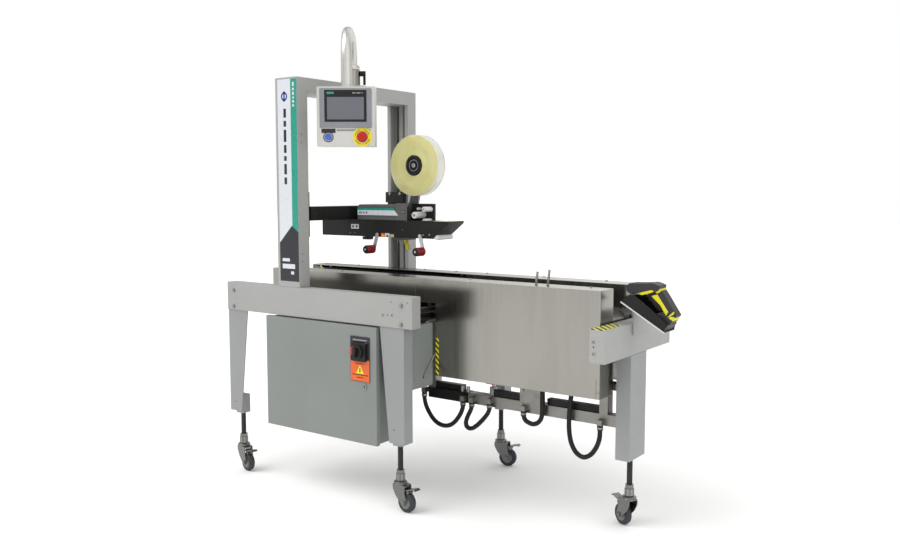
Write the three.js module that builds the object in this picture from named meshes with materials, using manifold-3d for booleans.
// Carton sealer: a side-belt case sealer with one height-adjustable tape head.
// Millimetres, +Z up, +X towards the infeed end, -Y towards the operator.
import * as THREE from 'three';
import { mergeVertices } from 'three/addons/utils/BufferGeometryUtils.js';
import Module from 'manifold-3d';

const wasm = await Module();
wasm.setup();

// ---------------------------------------------------------------- driving dimensions

const gap = 0.3;                       // clearance between pieces that touch
const originShift = { x: -3.93, y: 22.57 };  // centres the whole machine on its own origin

const beam = { left: -905, right: 66, face: 365, depth: 49, bottom: 674, top: 788, sheet: 3 };
const leg = { depth: 54, setBack: 4, plate: 4, bottom: 250, top: beam.bottom - gap };
const leftLeg = { outer: beam.left, innerTop: -790, innerBottom: -838, stemX: -854 };
const rightLeg = { outer: 25, innerTop: -86, innerBottom: -45, stemX: -11 };
const stem = { radius: 9.5, top: 300, bottom: 113, nutRadius: 17, nutTop: 138, y: 338 };
const clampBlock = { width: 38, depth: 40, bottom: 242, top: 318 };

const gantry = { left: -602, right: -486, face: 365, depth: 57, top: 1592, beamHeight: 57 };
const slot = { width: 80, depth: 42 };
const rail = { width: 22, depth: 16 };

const deck = { railY: 62, railThick: 5, railBottom: 672, railTop: 731, left: -880, right: 690 };
const rollerBed = { radius: 20, top: 738, dischargeFrom: -850, infeedFrom: 40, pitch: 62 };
const crossBar = { width: 36, bottom: 674.5, top: 690, places: [-786, -98] };
const widthTube = { x: -11, radius: 13, heights: [719, 688], flange: 22 };

const spine = { left: -98, right: 707.4, near: -55, far: -15, bottom: 357, top: 397 };
const spineStrut = { left: 640, right: 672, barBottom: 484, barTop: 508 };
const crossbeam = { left: 705, right: 760, near: -264, far: 263, bottom: 613, top: 722, sheet: 4 };
const infeedLeg = { left: 708, right: 760, near: -67, far: 60, bottom: 249, sheet: 4, stemX: 734, stemY: -3 };
const driveBox = { left: -56, right: 14, near: -309, far: -176, bottom: 440, top: 673.6, sheet: 3 };

const unit = { outer: 165, inner: 73, top: 835, sheet: 2, coverLeft: -847, seam: -74, coverBottom: 700 };
const belt = { left: -800, right: -18, thick: 4, pulleyRadius: 29.6, bottom: 746, top: 824 };
const panel = { right: 694, bottom: 472, innerStart: -8, innerBottom: 705, notchRight: 20, notchTop: 745 };
const guide = { noseX: 645, tip: 737, wallBottom: 752, lowRight: 694, lowTop: 735 };
const pins = { places: [403, 450], y: 85, radius: 4.5, heights: [43, 52] };

const head = { left: -664, right: -2, half: 50, bottom: 976, top: 1044.4, sheet: 4 };
const headBeam = { left: -560, right: -488, bottom: 1045, top: 1099, end: 295 };
const carriage = { left: -592, right: -496, bottom: 982, top: 1156, thick: 12 };
const cover = { left: -468, right: -262, top: 1106, half: 47 };
const roll = { x: -192, z: 1260, radius: 119, core: 38, half: 24 };
const tapeRollers = [
  { name: 'tape_roller_1', x: -172, z: 1066, radius: 13, near: -48, far: 14 },
  { name: 'tape_roller_2', x: -136, z: 1089, radius: 10, near: -34, far: 14 },
];
const crank = { armLength: 61, armWidth: 16, armThick: 6, gripRadius: 17.5, gripLength: 55, pivotZ: 985 };
const cranks = [
  { name: 'discharge_crank', x: -355, lean: -18 },
  { name: 'infeed_crank', x: -138, lean: 16 },
];

const arm = { rearX: -532, rearY: 0, reach: 317, radius: 22, centreTop: 1774, bend: 118 };
const armTurn = Math.atan2(-249, 196);  // the way the arm reaches from its rear foot
const collar = { radius: 33, height: 62 };
const box = { width: 218, height: 222, depth: 84, bottom: 1328, sheet: 2 };
const boxTurn = Math.atan2(0.586, 0.81); // turn of the box about Z: it faces the operator

const cabinet = { left: -668, right: -94, near: -372, door: 17, seal: 4, far: -172, bottom: 230, top: 668 };
const isolator = { x: -170, z: 574, plateLeft: -216, plateRight: -125, plateBottom: 466, plateTop: 627 };
const lock = { x: -150, z: 445, radius: 11 };

const shelf = { x: 744, z: 800, length: 175, near: -115, width: 86, thick: 5, tilt: -30.5 };
const scannerWidth = 62;

const caster = { wheelRadius: 37.5, wheelHalf: 12, trail: 32, forkHalf: 16, plate: 3, crown: 24, top: 112.7 };
const casters = [
  { name: 'caster_front_left', x: leftLeg.stemX, y: -stem.y, turn: -12 },
  { name: 'caster_front_right', x: rightLeg.stemX, y: -stem.y, turn: -5 },
  { name: 'caster_rear_left', x: leftLeg.stemX, y: stem.y, turn: 8 },
  { name: 'caster_rear_right', x: rightLeg.stemX, y: stem.y, turn: 12 },
  { name: 'caster_infeed', x: infeedLeg.stemX, y: infeedLeg.stemY, turn: 152 },
];

const hose = { radius: 8.5, y: -70 };

// ---------------------------------------------------------------- materials

const finish = (color, roughness, metalness) =>
  new THREE.MeshStandardMaterial({ color, roughness, metalness });
const greyPaint = finish(0xa9aaa8, 0.5, 0.1);
const cabinetPaint = finish(0x8c918f, 0.5, 0.1);
const stainless = finish(0xa5a29a, 0.35, 0.9);
const zinc = finish(0x9a9b9a, 0.4, 0.8);
const blackPaint = finish(0x1d1d1c, 0.5, 0.1);
const blackRubber = finish(0x141414, 0.8, 0);
const wheelRubber = finish(0x3c3f40, 0.8, 0);
const tapeFilm = finish(0xd3cd92, 0.4, 0);
const redPlastic = finish(0xc0181a, 0.4, 0);
const gripPlastic = finish(0x7e1a2a, 0.5, 0);
const bluePlastic = finish(0x3f69b5, 0.4, 0);
const whitePlastic = finish(0xdddedb, 0.5, 0);
const yellowPlastic = finish(0xe6df1e, 0.5, 0);

// ---------------------------------------------------------------- shapes

// A box between two corners.
function block([x0, y0, z0], [x1, y1, z1]) {
  const shape = new THREE.BoxGeometry(x1 - x0, y1 - y0, z1 - z0);
  return shape.translate((x0 + x1) / 2, (y0 + y1) / 2, (z0 + z1) / 2);
}

// A round bar from point a to point b.
function bar(a, b, radius, sides = 24) {
  const from = new THREE.Vector3(...a);
  const along = new THREE.Vector3(...b).sub(from);
  const shape = new THREE.CylinderGeometry(radius, radius, along.length(), sides);
  const turn = new THREE.Quaternion().setFromUnitVectors(new THREE.Vector3(0, 1, 0), along.clone().normalize());
  shape.applyQuaternion(turn);
  return shape.translate(...from.addScaledVector(along, 0.5).toArray());
}

function outline(points) {
  return new THREE.Shape(points.map(([u, v]) => new THREE.Vector2(u, v)));
}

function extrude(shape, depth) {
  return new THREE.ExtrudeGeometry(shape, { depth, bevelEnabled: false, curveSegments: 10 });
}

// A shape drawn in x and z, filled from y0 to y1.
function acrossY(shape, y0, y1) {
  return extrude(shape, y1 - y0).rotateX(Math.PI / 2).translate(0, y1, 0);
}

// A shape drawn in y and z, filled from x0 to x1.
function acrossX(shape, x0, x1) {
  const swap = new THREE.Matrix4().makeBasis(
    new THREE.Vector3(0, 1, 0), new THREE.Vector3(0, 0, 1), new THREE.Vector3(1, 0, 0));
  return extrude(shape, x1 - x0).applyMatrix4(swap).translate(x0, 0, 0);
}

// A shape drawn in x and y, filled from z0 to z1.
function upZ(shape, z0, z1) {
  return extrude(shape, z1 - z0).translate(0, 0, z0);
}

// A profile of [radius, height] turned about Z.
function turned(profile, sides = 28) {
  const points = profile.map(([r, h]) => new THREE.Vector2(r, h));
  return new THREE.LatheGeometry(points, sides).rotateX(Math.PI / 2);
}

// Two points mirrored to the other side of the belts' centreline, corners kept in order.
function sideBlock(side, [x0, y0, z0], [x1, y1, z1]) {
  const low = Math.min(side * y0, side * y1);
  const high = Math.max(side * y0, side * y1);
  return block([x0, low, z0], [x1, high, z1]);
}

// ---------------------------------------------------------------- joining and cutting

function toSolid(geometry) {
  if (!(geometry instanceof THREE.BufferGeometry)) return geometry;
  const plain = geometry.clone();
  plain.deleteAttribute('normal');
  plain.deleteAttribute('uv');
  const merged = mergeVertices(plain, 1e-3);
  return new wasm.Manifold(new wasm.Mesh({
    numProp: 3,
    vertProperties: new Float32Array(merged.attributes.position.array),
    triVerts: new Uint32Array(merged.index.array),
  }));
}

function join(...pieces) {
  return pieces.map(toSolid).reduce((whole, piece) => whole.add(piece));
}

function cut(body, ...tools) {
  return tools.map(toSolid).reduce((rest, tool) => rest.subtract(tool), toSolid(body));
}

function toGeometry(shape) {
  if (shape instanceof THREE.BufferGeometry) return shape;
  const { vertProperties, triVerts } = shape.getMesh();
  const geometry = new THREE.BufferGeometry();
  geometry.setAttribute('position', new THREE.BufferAttribute(vertProperties, 3));
  geometry.setIndex(new THREE.BufferAttribute(triVerts, 1));
  geometry.computeVertexNormals();
  return geometry;
}

function piece(name, shape, material) {
  const mesh = new THREE.Mesh(toGeometry(shape), material);
  mesh.name = name;
  return mesh;
}

// ---------------------------------------------------------------- frame

// A folded side beam, open towards the middle of the machine.
function sideBeam(side) {
  const { left, right, face, depth, bottom, top, sheet } = beam;
  return cut(
    sideBlock(side, [left, face - depth, bottom], [right, face, top]),
    sideBlock(side, [left + sheet, face - depth - 1, bottom + sheet], [right - sheet, face - sheet, top - sheet]));
}

function castorStem(x, y, blockShape) {
  const nut = bar([x, y, stem.bottom], [x, y, stem.nutTop], stem.nutRadius, 6);
  return join(bar([x, y, stem.bottom], [x, y, stem.top], stem.radius, 16), nut, blockShape);
}

// A tapered angle leg with the block that clamps its castor stem.
function cornerLeg(side, shape) {
  const { outer, innerTop, innerBottom, stemX } = shape;
  const inward = Math.sign(innerTop - outer);
  const near = beam.face - leg.setBack;
  const far = beam.face - leg.depth;
  const face = outline([[outer, leg.bottom], [innerBottom, leg.bottom], [innerTop, leg.top], [outer, leg.top]]);
  const [y0, y1] = side > 0 ? [near - leg.plate, near] : [-near, -near + leg.plate];
  const front = acrossY(face, y0, y1);
  const outerEdge = outer + inward * leg.plate;
  const flank = sideBlock(side, [Math.min(outer, outerEdge), far, leg.bottom], [Math.max(outer, outerEdge), near, leg.top]);
  const half = clampBlock.width / 2;
  const clamp = sideBlock(side,
    [stemX - half, near - leg.plate - clampBlock.depth, clampBlock.bottom],
    [stemX + half, near - leg.plate + 1, clampBlock.top]);
  return join(front, flank, castorStem(stemX, side * stem.y, clamp));
}

// A gantry post: a channel whose slot faces the tape head, with its guide rail in it.
function gantryPost(side) {
  const { left, right, face, depth, top } = gantry;
  const middle = (left + right) / 2;
  const inner = face - depth;
  const bottom = beam.top + gap;
  const channel = cut(
    sideBlock(side, [left, inner, bottom], [right, face, top]),
    sideBlock(side, [middle - slot.width / 2, inner - 1, bottom - 1],
      [middle + slot.width / 2, inner + slot.depth, top - gantry.beamHeight]));
  const guideRail = sideBlock(side,
    [middle - rail.width / 2, inner + slot.depth - rail.depth, bottom],
    [middle + rail.width / 2, inner + slot.depth + 1, top - gantry.beamHeight]);
  return join(channel, guideRail);
}

// The top beam between the posts, with the socket of the display arm.
function gantryBeam() {
  const { left, right, face, depth, top, beamHeight } = gantry;
  const end = face - depth - gap;
  const body = block([left, -end, top - beamHeight], [right, end, top]);
  const socket = bar([arm.rearX, arm.rearY, top - 1], [arm.rearX, arm.rearY, top + collar.height], collar.radius, 28);
  const bore = bar([arm.rearX, arm.rearY, top + 20], [arm.rearX, arm.rearY, top + collar.height + 1],
    arm.radius + gap * 3, 28);
  const hollow = block([left + 4, -end - 1, top - beamHeight + 4], [right - 4, end + 1, top - 4]);
  return cut(join(cut(body, hollow), socket), bore);
}

// Side rails with rollers, the bars that tie them to both beams, and the width guide tubes.
function conveyorBed() {
  const { railY, railThick, railBottom, railTop, left, right } = deck;
  const reach = beam.face - beam.depth - gap;
  const parts = [-1, 1].map((side) => sideBlock(side, [left, railY, railBottom], [right - gap, railY + railThick, railTop]));
  for (const x of crossBar.places) {
    parts.push(block([x, -reach, crossBar.bottom], [x + crossBar.width, reach, crossBar.top]));
  }
  const axis = rollerBed.top - rollerBed.radius;
  const rows = [];
  for (let x = rollerBed.dischargeFrom; x < -600; x += rollerBed.pitch) rows.push(x);
  for (let x = rollerBed.infeedFrom; x < right - rollerBed.radius; x += rollerBed.pitch) rows.push(x);
  for (const x of rows) {
    parts.push(bar([x, -railY - 1, axis], [x, railY + 1, axis], rollerBed.radius, 12));
  }
  for (const z of widthTube.heights) {
    parts.push(bar([widthTube.x, -reach, z], [widthTube.x, reach, z], widthTube.radius, 16));
  }
  for (const side of [-1, 1]) {
    parts.push(sideBlock(side, [widthTube.x - widthTube.flange, reach - 8, widthTube.heights[1] - 4],
      [widthTube.x + widthTube.flange, reach, widthTube.heights[0] + 20]));
  }
  for (const x of [424, 552]) {
    parts.push(block([x - 14, hose.y - 14, railBottom], [x + 14, -railY, railBottom + 12]));
  }
  parts.push(block([spineStrut.left, -railY - 1, railBottom], [spineStrut.right, railY + 1, railBottom + 12]));
  return join(...parts);
}

// The taping cartridge under the bed, which seals the carton's bottom.
function lowerTapeHead() {
  const profile = outline([[-560, 676], [-520, 632], [-160, 632], [-116, 676], [-116, 730], [-560, 730]]);
  const shell = cut(acrossY(profile, -58, 58), block([-548, -54, 626], [-128, 54, 726]));
  const wipes = [-480, -200].map((x) => bar([x, -56, 714], [x, 56, 714], 22, 20));
  return join(shell, ...wipes);
}

function spineBeam() {
  const { left, right, near, far, bottom, top } = spine;
  const run = block([left, near, bottom], [right, far, top]);
  const hanger = block([left, near, top - 1], [left + crossBar.width, far, crossBar.bottom - gap]);
  const strut = block([spineStrut.left, near, top - 1], [spineStrut.right, far, deck.railBottom - gap]);
  const upper = block([spineStrut.left, near, spineStrut.barBottom], [right, far, spineStrut.barTop]);
  const fittings = hoseFittings.map(([x, z]) => block([x - 9, hose.y - 9, z + gap * 2], [x + 9, near + 1, z + 20]));
  return join(run, hanger, strut, upper, ...fittings);
}

// The folded beam across the infeed end.
function endBeam() {
  const { left, right, near, far, bottom, top, sheet } = crossbeam;
  return cut(
    block([left, near, bottom], [right, far, top]),
    block([left - 1, near + sheet, bottom + sheet], [right - sheet, far - sheet, top - sheet]));
}

function endLeg() {
  const { left, right, near, far, bottom, sheet, stemX, stemY } = infeedLeg;
  const top = crossbeam.bottom - gap;
  const tube = cut(
    block([left, near, bottom], [right, far, top]),
    block([left + sheet, near + sheet, bottom + sheet * 2], [right - sheet, far - sheet, top + 1]));
  const clamp = block([left + 1, stemY - 22, bottom], [right - 1, stemY + 22, stem.top + 20]);
  return join(tube, castorStem(stemX, stemY, clamp));
}

// A sheet box behind the right front leg, open on its hidden side.
function driveCabinet() {
  const { left, right, near, far, bottom, top, sheet } = driveBox;
  return cut(
    block([left, near, bottom], [right, far, top]),
    block([left - 1, near + sheet, bottom + sheet], [right - sheet, far - sheet, top - sheet]));
}

// ---------------------------------------------------------------- belt drives

// A stainless cover, open towards the cartons, and below.
function driveCover(side) {
  const { outer, inner, top, sheet, coverLeft, seam, coverBottom } = unit;
  return cut(
    sideBlock(side, [coverLeft, inner + 2, coverBottom], [seam - gap, outer, top]),
    sideBlock(side, [coverLeft + sheet, inner, coverBottom + sheet], [seam + 1, outer - sheet, top - sheet]));
}

function stadium(left, right, low, high) {
  const r = (high - low) / 2;
  const mid = (high + low) / 2;
  const shape = new THREE.Shape();
  shape.moveTo(left + r, low);
  shape.lineTo(right - r, low);
  shape.absarc(right - r, mid, r, -Math.PI / 2, Math.PI / 2, false);
  shape.lineTo(left + r, high);
  shape.absarc(left + r, mid, r, Math.PI / 2, Math.PI * 1.5, false);
  return shape;
}

const beltOuter = belt.pulleyRadius + gap + belt.thick;
const beltMid = unit.inner + beltOuter;
const pulleyEnds = [belt.left + beltOuter, belt.right - beltOuter];

function sideBelt(side) {
  const mid = side * beltMid;
  const inner = beltOuter - belt.thick;
  return cut(
    upZ(stadium(belt.left, belt.right, mid - beltOuter, mid + beltOuter), belt.bottom, belt.top),
    upZ(stadium(belt.left + belt.thick, belt.right - belt.thick, mid - inner, mid + inner), belt.bottom - 1, belt.top + 1));
}

function pulley(side, x) {
  const y = side * beltMid;
  const shaftLow = unit.coverBottom + unit.sheet + gap;
  const shaftHigh = unit.top - unit.sheet - gap;
  return join(
    bar([x, y, belt.bottom + 2], [x, y, belt.top - 2], belt.pulleyRadius, 32),
    bar([x, y, shaftLow], [x, y, shaftHigh], 9, 16));
}

// The tall stainless panel of the front unit, which is also the infeed guide.
function infeedPanel() {
  const { outer, inner, top, sheet, seam } = unit;
  const { right, bottom, innerStart, innerBottom, notchRight, notchTop } = panel;
  const solid = block([seam, -outer, bottom], [right, -inner + 3, top]);
  const pocket = block([seam - 1, -outer + sheet, bottom - 1], [right - sheet, -inner + 3 - sheet, top - sheet]);
  const lowSide = block([seam - 1, -outer + sheet, bottom - 1], [right - sheet, 0, innerBottom]);
  const beltSide = block([seam - 1, -inner - 8, bottom - 1], [innerStart, 0, top - sheet]);
  const notch = block([seam - 1, -outer - 1, bottom - 1], [notchRight, 0, notchTop]);
  const studs = pins.places.map((x, i) =>
    bar([x, -pins.y, top - 1], [x + pins.heights[i] * 0.12, -pins.y, top + pins.heights[i]], pins.radius, 12));
  return join(cut(solid, pocket, lowSide, beltSide, notch), ...studs);
}

// The rear unit's panel: its nose curves away at the infeed end to lead cartons in.
function rearGuide() {
  const { outer, inner, top, sheet, seam } = unit;
  const { noseX, tip, wallBottom, lowRight, lowTop } = guide;
  const low = inner - 3;
  const curve = (inset) => {
    const shape = new THREE.Shape();
    shape.moveTo(seam, low + inset);
    shape.lineTo(noseX, low + inset);
    shape.bezierCurveTo(noseX + 62, low + inset, tip - inset, outer - 48, tip - inset, outer - inset);
    shape.lineTo(seam, outer - inset);
    return shape;
  };
  const upper = cut(upZ(curve(0), wallBottom, top), upZ(curve(sheet), wallBottom - 1, top - sheet),
    block([seam - 1, low - 1, wallBottom - 1], [seam + 1, outer - sheet, top - sheet]),
    block([seam - 1, low - 1, wallBottom - 1], [panel.innerStart, inner + 8, top - sheet]));
  const skirt = block([panel.notchRight, outer - sheet, panel.bottom], [lowRight, outer, wallBottom + 1]);
  const lowerReturn = block([lowRight - sheet, inner, panel.bottom], [lowRight, outer, lowTop]);
  const trimmed = cut(lowerReturn, block([lowRight - 10, inner - 1, lowTop - 30], [lowRight + 1, inner + 1, lowTop + 1]));
  return join(upper, skirt, trimmed);
}

// ---------------------------------------------------------------- tape head

// The beam across the gantry with its two carriage plates.
function headCrossbeam() {
  const { left, right, bottom, top, end } = headBeam;
  const run = block([left, -end, bottom], [right, end, top]);
  const plates = [-1, 1].map((side) => sideBlock(side,
    [carriage.left, end - 1, carriage.bottom], [carriage.right, end + carriage.thick - gap, carriage.top]));
  return join(run, ...plates);
}

// The head's body: a folded channel, open below, with a sloping nose at the infeed end.
function tapeHead() {
  const { left, right, half, bottom, top, sheet } = head;
  const profile = outline([[left, bottom], [-80, bottom], [right - 4, 1034], [right, 1040], [right - 3, top],
    [left, top]]);
  const hollow = block([left + sheet, -half + sheet, bottom - 1], [-90, half - sheet, top - sheet]);
  const noseRoller = bar([-63, -half + 1, bottom + 6], [-63, half - 1, bottom + 6], 10, 20);
  const bracket = block([-234, 14 + gap, top - 1], [-122, 26, 1110]);
  return join(cut(acrossY(profile, -half, half), hollow), noseRoller, bracket);
}

// The grey top cover with the forked arm that carries the tape roll.
function headCover() {
  const { left, right, top, half } = cover;
  const bottom = head.top + gap;
  const lid = outline([[left, bottom], [right, bottom], [right, top - 8], [right - 8, top], [left + 10, top], [left, top - 10]]);
  const plate = block([right - 1, -half - 4, bottom], [-212, -half + 2, 1112]);
  const back = block([right - 1, 28, bottom], [-212, 32, 1112]);
  const foot = block([right - 1, -half - 4, bottom], [-240, 32, bottom + 8]);
  const fork = outline([[-262, 1100], [-214, 1100], [-178, 1250], [-180, 1272], [-206, 1272], [-212, 1256]]);
  const arms = acrossY(fork, 28, 34);
  const spindle = bar([roll.x, -roll.half - 6, roll.z], [roll.x, 30, roll.z], 7.7, 20);
  return join(acrossY(lid, -half, half), plate, back, foot, arms, spindle);
}

function ringAcrossY(x, z, inner, outer, y0, y1, sides) {
  return cut(bar([x, y0, z], [x, y1, z], outer, sides), bar([x, y0 - 1, z], [x, y1 + 1, z], inner, sides));
}

function tapeHub() {
  const core = ringAcrossY(roll.x, roll.z, 8, roll.core - gap, -roll.half + 1, roll.half - 1, 32);
  const flange = ringAcrossY(roll.x, roll.z, 8, roll.core - 5, -roll.half - 3, -roll.half + 2, 32);
  return join(core, flange);
}

function tapeRoll() {
  return ringAcrossY(roll.x, roll.z, roll.core, roll.radius, -roll.half, roll.half, 44);
}

function tapeRoller({ x, z, radius, near, far }) {
  return bar([x, near, z], [x, far, z], radius, 20);
}

// A crank: a flat arm hanging from a pivot, with its grip towards the operator.
function crankShape() {
  const { armLength, armWidth, armThick, gripRadius, gripLength } = crank;
  const armShape = outline([[-armWidth / 2, 8], [armWidth / 2, 8], [armWidth / 2, -armLength - 6], [-armWidth / 2, -armLength - 6]]);
  const grip = turned([[0, 0], [gripRadius - 4, 0], [gripRadius, 5], [gripRadius, gripLength - 6],
    [gripRadius - 5, gripLength], [0, gripLength]], 10).rotateX(Math.PI / 2).translate(0, -armThick, -armLength);
  return join(acrossY(armShape, -armThick - 1, 0), grip);
}

// ---------------------------------------------------------------- display

// The inverted-U tube between the gantry socket and the control box.
function displayArm() {
  const { reach, radius, centreTop, bend } = arm;
  const path = new THREE.CurvePath();
  const v = (x, z) => new THREE.Vector3(x, 0, z);
  const k = bend * 0.5523;
  const footZ = gantry.top + 20 + gap;
  const boxZ = box.bottom + box.height + gap;
  path.add(new THREE.LineCurve3(v(0, footZ), v(0, centreTop - bend)));
  path.add(new THREE.CubicBezierCurve3(v(0, centreTop - bend), v(0, centreTop - bend + k), v(bend - k, centreTop), v(bend, centreTop)));
  path.add(new THREE.LineCurve3(v(bend, centreTop), v(reach - bend, centreTop)));
  path.add(new THREE.CubicBezierCurve3(v(reach - bend, centreTop), v(reach - bend + k, centreTop),
    v(reach, centreTop - bend + k), v(reach, centreTop - bend)));
  path.add(new THREE.LineCurve3(v(reach, centreTop - bend), v(reach, boxZ)));
  const round = new THREE.Shape();
  round.absarc(0, 0, radius, 0, Math.PI * 2, false);
  return new THREE.ExtrudeGeometry(round, { steps: 22, extrudePath: path, curveSegments: 7 });
}

// A ratchet lever beside the socket.
function clampLever() {
  const hub = bar([0, 0, 0], [22, 0, 0], 11, 16);
  const shape = outline([[-7, 4], [7, 4], [4, -46], [-4, -46]]);
  return join(hub, acrossX(shape, 12, 22));
}

function controlBox() {
  const { width, height, depth, sheet } = box;
  const shell = block([-width / 2, -depth / 2, 0], [width / 2, depth / 2, height]);
  const inside = block([-width / 2 + sheet, -depth / 2 + sheet, sheet], [width / 2 - sheet, depth / 2 - sheet, height - sheet]);
  const bezel = block([-97, -depth / 2 - 6, 68], [97, -depth / 2 + 1, 214]);
  const estopCollar = bar([62, -depth / 2 + 1, 34], [62, -depth / 2 - 3, 34], 32, 28);
  const estopBore = bar([62, 0, 34], [62, -depth / 2 - 5, 34], 12, 20);
  const buttonBore = bar([-66, 0, 34], [-66, -depth / 2 - 5, 34], 12, 20);
  return cut(join(cut(shell, inside), bezel, estopCollar), estopBore, buttonBore);
}

// A push button along Y, its face towards -Y, with its stem in the box.
function pushButton(capRadius, capDepth, travel) {
  const stemPart = bar([0, 30, 0], [0, -travel - 1, 0], 11.6, 20);
  const cap = bar([0, -travel, 0], [0, -travel - capDepth, 0], capRadius, 28);
  return join(stemPart, cap);
}

// ---------------------------------------------------------------- electrical enclosure

function enclosureBox() {
  const { left, right, near, door, seal, far, bottom, top } = cabinet;
  const front = near + door + seal;
  return cut(
    block([left + 4, front, bottom + 4], [right - 4, far, top - 4]),
    block([left + 6, front - 1, bottom + 6], [right - 6, far - 2, top - 6]));
}

function enclosureDoor() {
  const { left, right, near, door, bottom, top } = cabinet;
  const pan = cut(
    block([left, near, bottom], [right, near + door, top]),
    block([left + 2, near + 2, bottom + 2], [right - 2, near + door + 1, top - 2]));
  const { x, z, plateLeft, plateRight, plateBottom, plateTop } = isolator;
  const plate = block([plateLeft, near - 2, plateBottom], [plateRight, near + 1, plateTop]);
  const switchBase = block([x - 34, near - 14, z - 34], [x + 34, near - 1, z + 34]);
  const bore = bar([x, near - 20, z], [x, near + 5, z], 10, 20);
  const lockBore = bar([lock.x, near - 5, lock.z], [lock.x, near + 5, lock.z], lock.radius - 3, 20);
  return cut(join(pan, plate, switchBase), bore, lockBore);
}

function isolatorHandle() {
  const { x, z } = isolator;
  const face = cabinet.near - 14 - gap;
  const base = bar([x, face - 8, z], [x, face, z], 24, 28);
  const handle = block([x - 8, face - 28, z - 24], [x + 8, face - 6, z + 24]);
  const shaft = bar([x, face - 1, z], [x, cabinet.near + 12, z], 9, 16);
  return join(base, handle, shaft);
}

function doorLock() {
  const { x, z, radius } = lock;
  const barrel = bar([x, cabinet.near - 4, z], [x, cabinet.near - gap, z], radius, 20);
  const shaft = bar([x, cabinet.near - 1, z], [x, cabinet.near + 12, z], radius - 4, 16);
  const cam = block([x - 6, cabinet.near + 8, z - 6], [x + 30, cabinet.near + 12, z + 6]);
  return join(barrel, shaft, cam);
}

// ---------------------------------------------------------------- scanner and its shelf

// The tilted frame of the shelf: its own x runs down the slope, its z stands off it.
function onShelf(shape) {
  const tilted = new THREE.Matrix4().makeRotationY(THREE.MathUtils.degToRad(-shelf.tilt));
  const placed = toGeometry(shape).clone();
  placed.applyMatrix4(tilted);
  return placed.translate(shelf.x, 0, shelf.z);
}

function scannerShelf() {
  const far = shelf.near + shelf.width;
  const tray = block([0, shelf.near, -shelf.thick], [shelf.length, far, 0]);
  const cradle = cut(
    block([2, shelf.near + 3, -1], [shelf.length - 4, far - 3, 24]),
    block([8, shelf.near + 9, 6], [shelf.length - 10, far - 9, 30]));
  const riser = block([crossbeam.right + gap, -62, 682], [crossbeam.right + 5, -32, 786]);
  const plate = block([crossbeam.right + gap, -62, 682], [crossbeam.right + 5, 76, 749]);
  return join(onShelf(join(tray, cradle)), riser, plate);
}

// The handheld scanner: its foot stands in the cradle and its head looks over the upper end.
function scannerShape() {
  const profile = outline([[-21, 45], [-4, 26], [38, 58], [56, 64], [114, 38], [118, 8], [150, 8], [160, 20],
    [172, 36], [163, 56], [84, 94], [68, 100], [45, 106]]);
  const middle = shelf.near + shelf.width / 2;
  const body = acrossY(profile, middle - scannerWidth / 2, middle + scannerWidth / 2);
  const well = block([58, middle - 8.3, 30], [88, middle + 8.3, 72]);
  return onShelf(cut(body, well));
}

function triggerShape() {
  const middle = shelf.near + shelf.width / 2;
  const profile = outline([[59, 66], [64, 44], [80, 40], [87, 66]]);
  return onShelf(acrossY(profile, middle - 8, middle + 8));
}

// ---------------------------------------------------------------- castors

function casterFork() {
  const { wheelRadius, trail, forkHalf, plate, crown, top } = caster;
  const cheek = outline([[-22, 92], [18, 92], [46, 84], [46, 76], [trail + 12, 70], [trail + 9, wheelRadius - 9],
    [trail - 9, wheelRadius - 9], [-16, 72]]);
  const cheeks = [-1, 1].map((side) => {
    const y = side * (forkHalf + plate / 2);
    return acrossY(cheek, y - plate / 2, y + plate / 2);
  });
  const bridge = block([-22, -forkHalf - plate, 89], [20, forkHalf + plate, 93]);
  const bearing = bar([0, 0, 92], [0, 0, top], crown, 20);
  const axle = bar([trail, -forkHalf - plate - 3, wheelRadius], [trail, forkHalf + plate + 3, wheelRadius], 4, 12);
  const pedalShape = outline([[18, 88], [50, 88], [84, 98], [84, 102], [48, 94], [18, 93]]);
  return join(...cheeks, bridge, bearing, axle, acrossY(pedalShape, -14, 14));
}

function casterWheel() {
  const { wheelRadius, wheelHalf } = caster;
  const profile = [[4.3, -wheelHalf - 2], [12, -wheelHalf - 2], [14, -wheelHalf + 4], [24, -wheelHalf + 4],
    [27, -wheelHalf], [wheelRadius - 5, -wheelHalf], [wheelRadius, -wheelHalf + 6], [wheelRadius, wheelHalf - 6],
    [wheelRadius - 5, wheelHalf], [27, wheelHalf], [24, wheelHalf - 4], [14, wheelHalf - 4], [12, wheelHalf + 2],
    [4.3, wheelHalf + 2], [4.3, -wheelHalf - 2]];
  return turned(profile, 20).rotateX(Math.PI / 2).translate(caster.trail, 0, wheelRadius);
}

// ---------------------------------------------------------------- hoses

// Where hose ends meet a fitting on the spine: x and z of the fitting's mouth.
const hoseFittings = [[-106, 376], [78, 366], [118, 366], [198, 372], [346, 366], [652, 360]];

const hoseRoutes = {
  hose_1: [[-106, 376], [-106, 364], [-106, 352], [-99, 326], [-84, 300], [-64, 277], [-40, 262], [-12, 257],
    [16, 263], [38, 278], [56, 299], [70, 322], [78, 346], [78, 356], [78, 366]],
  hose_2: [[118, 366], [118, 350], [112, 333], [103, 316], [96, 300], [92, 285], [95, 272], [106, 265],
    [121, 267], [138, 278], [155, 293], [172, 311], [189, 332], [198, 353], [198, 372]],
  hose_3: [[346, 366], [346, 358], [346, 350], [354, 334], [370, 326], [387, 324], [405, 331], [419, 348],
    [424, 372], [424, 410], [424, 470], [424, 505], [424, 540], [424, 620], [424, 672 - gap]],
  hose_4: [[552, 672 - gap], [552, 620], [548, 530], [542, 470], [535, 410], [532, 360], [534, 316], [544, 276],
    [564, 248], [590, 238], [616, 250], [636, 276], [649, 308], [652, 338], [652, 360]],
};

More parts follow.
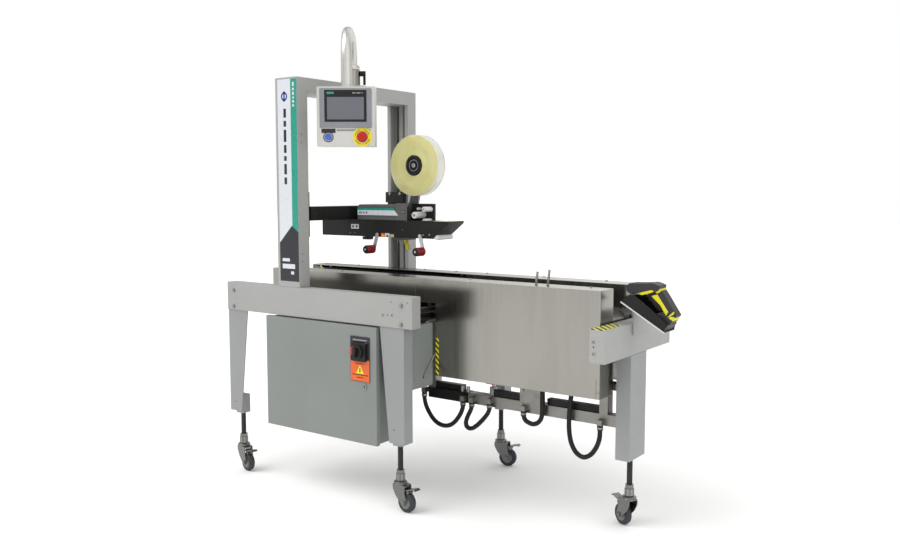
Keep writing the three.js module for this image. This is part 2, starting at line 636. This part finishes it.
function hoseShape(route) {
  const path = new THREE.CatmullRomCurve3(route.map(([x, z]) => new THREE.Vector3(x, hose.y, z)));
  const round = new THREE.Shape();
  round.absarc(0, 0, hose.radius, 0, Math.PI * 2, false);
  const steps = Math.round(path.getLength() / (hose.radius * 5));
  return new THREE.ExtrudeGeometry(round, { steps, extrudePath: path, curveSegments: 5 });
}

// ---------------------------------------------------------------- assembly

const machine = new THREE.Group();
machine.position.set(originShift.x, originShift.y, 0);

function frameGroup() {
  const group = new THREE.Group();
  group.add(piece('front_beam', sideBeam(-1), greyPaint));
  group.add(piece('rear_beam', sideBeam(1), greyPaint));
  group.add(piece('front_left_leg', cornerLeg(-1, leftLeg), greyPaint));
  group.add(piece('front_right_leg', cornerLeg(-1, rightLeg), greyPaint));
  group.add(piece('rear_left_leg', cornerLeg(1, leftLeg), greyPaint));
  group.add(piece('rear_right_leg', cornerLeg(1, rightLeg), greyPaint));
  group.add(piece('front_post', gantryPost(-1), greyPaint));
  group.add(piece('rear_post', gantryPost(1), greyPaint));
  group.add(piece('gantry_beam', gantryBeam(), greyPaint));
  group.add(piece('roller_bed', conveyorBed(), zinc));
  group.add(piece('lower_tape_head', lowerTapeHead(), blackPaint));
  group.add(piece('spine_beam', spineBeam(), stainless));
  group.add(piece('infeed_crossbeam', endBeam(), greyPaint));
  group.add(piece('infeed_leg', endLeg(), greyPaint));
  group.add(piece('drive_cabinet', driveCabinet(), greyPaint));
  group.add(piece('enclosure_box', enclosureBox(), cabinetPaint));
  group.add(piece('scanner_shelf', scannerShelf(), blackPaint));
  for (const [name, route] of Object.entries(hoseRoutes)) {
    group.add(piece(name, hoseShape(route), blackRubber));
  }
  return group;
}

function driveGroup(prefix, side) {
  const group = new THREE.Group();
  group.add(piece(`${prefix}_drive_cover`, driveCover(side), stainless));
  group.add(piece(`${prefix}_belt`, sideBelt(side), blackRubber));
  group.add(piece(`${prefix}_drive_pulley`, pulley(side, pulleyEnds[0]), zinc));
  group.add(piece(`${prefix}_idle_pulley`, pulley(side, pulleyEnds[1]), zinc));
  return group;
}

function headGroup() {
  const group = new THREE.Group();
  group.add(piece('head_beam', headCrossbeam(), blackPaint));
  group.add(piece('tape_head', tapeHead(), blackPaint));
  group.add(piece('head_cover', headCover(), greyPaint));
  group.add(piece('tape_hub', tapeHub(), blackPaint));
  group.add(piece('tape_roll', tapeRoll(), tapeFilm));
  for (const roller of tapeRollers) {
    group.add(piece(roller.name, tapeRoller(roller), whitePlastic));
  }
  for (const { name, x, lean } of cranks) {
    const mesh = piece(name, crankShape(), gripPlastic);
    mesh.position.set(x, -head.half - gap, crank.pivotZ);
    mesh.rotation.y = THREE.MathUtils.degToRad(-lean);
    group.add(mesh);
  }
  return group;
}

function displayGroup() {
  const group = new THREE.Group();
  const armMesh = piece('display_arm', displayArm(), stainless);
  armMesh.position.set(arm.rearX, arm.rearY, 0);
  armMesh.rotation.z = armTurn;
  const lever = piece('clamp_lever', clampLever(), blackPaint);
  lever.position.set(arm.rearX + (collar.radius + gap) * Math.cos(boxTurn),
    arm.rearY + (collar.radius + gap) * Math.sin(boxTurn), gantry.top + 50);
  lever.rotation.z = boxTurn;
  const display = new THREE.Group();
  display.position.set(arm.rearX + arm.reach * Math.cos(armTurn), arm.rearY + arm.reach * Math.sin(armTurn), box.bottom);
  display.rotation.z = boxTurn;
  display.add(piece('control_box', controlBox(), stainless));
  const stop = piece('emergency_stop', pushButton(20, 16, 6), redPlastic);
  stop.position.set(62, -box.depth / 2 - 3, 34);
  const start = piece('start_button', pushButton(14.5, 8, 4), bluePlastic);
  start.position.set(-66, -box.depth / 2, 34);
  display.add(stop, start);
  group.add(armMesh, lever, display);
  return group;
}

function doorGroup() {
  const group = new THREE.Group();
  group.add(piece('enclosure_door', enclosureDoor(), cabinetPaint));
  group.add(piece('isolator_handle', isolatorHandle(), redPlastic));
  group.add(piece('door_lock', doorLock(), zinc));
  return group;
}

function scannerGroup() {
  const group = new THREE.Group();
  group.add(piece('scanner', scannerShape(), yellowPlastic));
  group.add(piece('scanner_trigger', triggerShape(), blackPaint));
  return group;
}

function casterGroup({ name, x, y, turn }) {
  const group = new THREE.Group();
  group.position.set(x, y, 0);
  group.rotation.z = THREE.MathUtils.degToRad(turn);
  group.add(piece(`${name}_fork`, casterFork(), zinc));
  group.add(piece(`${name}_wheel`, casterWheel(), wheelRubber));
  return group;
}

const frontDrive = driveGroup('front', -1);
frontDrive.add(piece('front_infeed_panel', infeedPanel(), stainless));
const rearDrive = driveGroup('rear', 1);
rearDrive.add(piece('rear_infeed_guide', rearGuide(), stainless));

machine.add(frameGroup(), frontDrive, rearDrive, headGroup(), displayGroup(), doorGroup(), scannerGroup());
for (const each of casters) machine.add(casterGroup(each));

export default machine;
